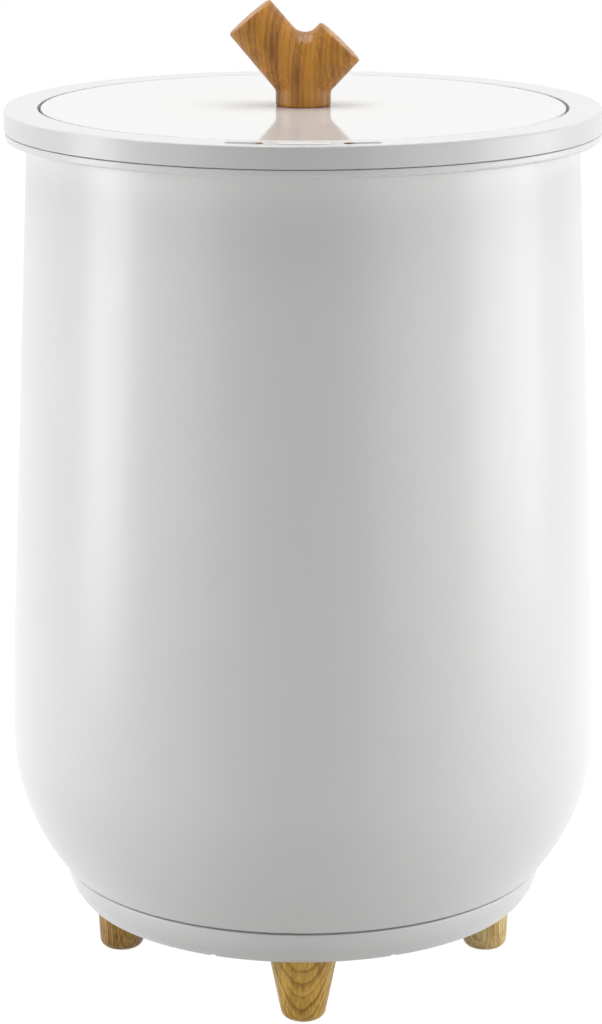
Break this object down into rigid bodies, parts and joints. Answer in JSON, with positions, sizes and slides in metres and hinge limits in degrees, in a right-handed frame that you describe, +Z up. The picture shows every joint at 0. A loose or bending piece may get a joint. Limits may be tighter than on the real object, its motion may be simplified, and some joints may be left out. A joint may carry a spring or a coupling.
{
  "type": "towel warmer bucket",
  "caption": "Heated towel bucket: tapered round white body with a flush lift-off lid, a forked wooden branch handle, a rim push button and splayed wooden feet.",
  "frame": {"origin": "on the floor, under the centre of the bucket", "axes": "+Z up along the bucket's axis; the front, where the timer button is, faces -Y; the mains inlet faces +Y"},
  "size_m": [0.3115, 0.3116, 0.5167],
  "materials": {
    "white_abs": "gloss white ABS",
    "white_pp": "satin white polypropylene",
    "pe_foam": "closed-cell polyethylene foam",
    "smoked_acrylic": "smoked acrylic",
    "led_epoxy": "clear epoxy",
    "black_plastic": "black moulded plastic",
    "circuit_board": "green solder mask",
    "cable_pvc": "grey ribbon",
    "aluminium": "spun aluminium, satin",
    "aluminium_foil": "foil",
    "silicone": "translucent silicone",
    "heating_wire": "silicone-sheathed heating wire",
    "felt": "needled polyester felt",
    "phenolic": "phenolic body",
    "steel": "zinc-plated steel",
    "transformer_core": "varnished laminations",
    "film_capacitor": "yellow film capacitor box",
    "glass": "glass tube",
    "terminal_plastic": "green terminal block",
    "brass": "turned brass",
    "rubber": "anti-slip rubber",
    "ash_wood": "oiled hardwood, honey brown"
  },
  "bodies": {
    "bucket": {"outer_shell": "white_abs", "neck_frame": "white_abs", "top_ring": "white_abs", "base_cover": "white_abs", "pot_cradle": "white_pp", "indicator_windows": "smoked_acrylic", "indicator_leds": "led_epoxy", "tact_switch": "black_plastic", "control_board": "circuit_board", "power_board": "circuit_board", "control_cable": "cable_pvc", "inner_pot": "aluminium", "heater_foil": "aluminium_foil", "pot_gasket": "silicone", "heater_wire": "heating_wire", "heater_leads": "heating_wire", "insulation_sleeve": "felt", "thermostat": "phenolic", "thermostat_strap": "steel", "thermal_fuse": "steel", "fuse_clip": "steel", "relay": "black_plastic", "transformer": "transformer_core", "filter_capacitor": "film_capacitor", "glass_fuse": "glass", "terminal_block": "terminal_plastic", "ring_screws": "steel", "control_board_screws": "steel", "base_screws": "steel", "power_board_screws": "steel", "foot_screws": "steel", "foot_inserts": "brass", "foot_pads": "rubber", "cord_bush": "black_plastic", "front_foot": "ash_wood", "rear_foot": "ash_wood", "left_foot": "ash_wood", "right_foot": "ash_wood"},
    "lid": {"lid_cover": "white_abs", "lid_tray": "white_pp", "lid_screws": "steel", "lid_seal": "silicone", "lid_foam": "pe_foam", "handle": "ash_wood", "handle_insert": "brass", "handle_washer": "steel", "handle_screw": "steel"},
    "button": {"power_button": "white_abs", "switch_plunger": "black_plastic"}
  },
  "joints": [
    {"name": "lid_lift", "type": "slide", "parent": "bucket", "child": "lid", "axis": [0, 0, 1], "range_m": [0, 0.2]},
    {"name": "button_press", "type": "slide", "parent": "bucket", "child": "button", "axis": [0, 0, -1], "range_m": [0, 0.0005], "stiffness_N_per_m": 1500, "springref_m": -0.0004}
  ]
}
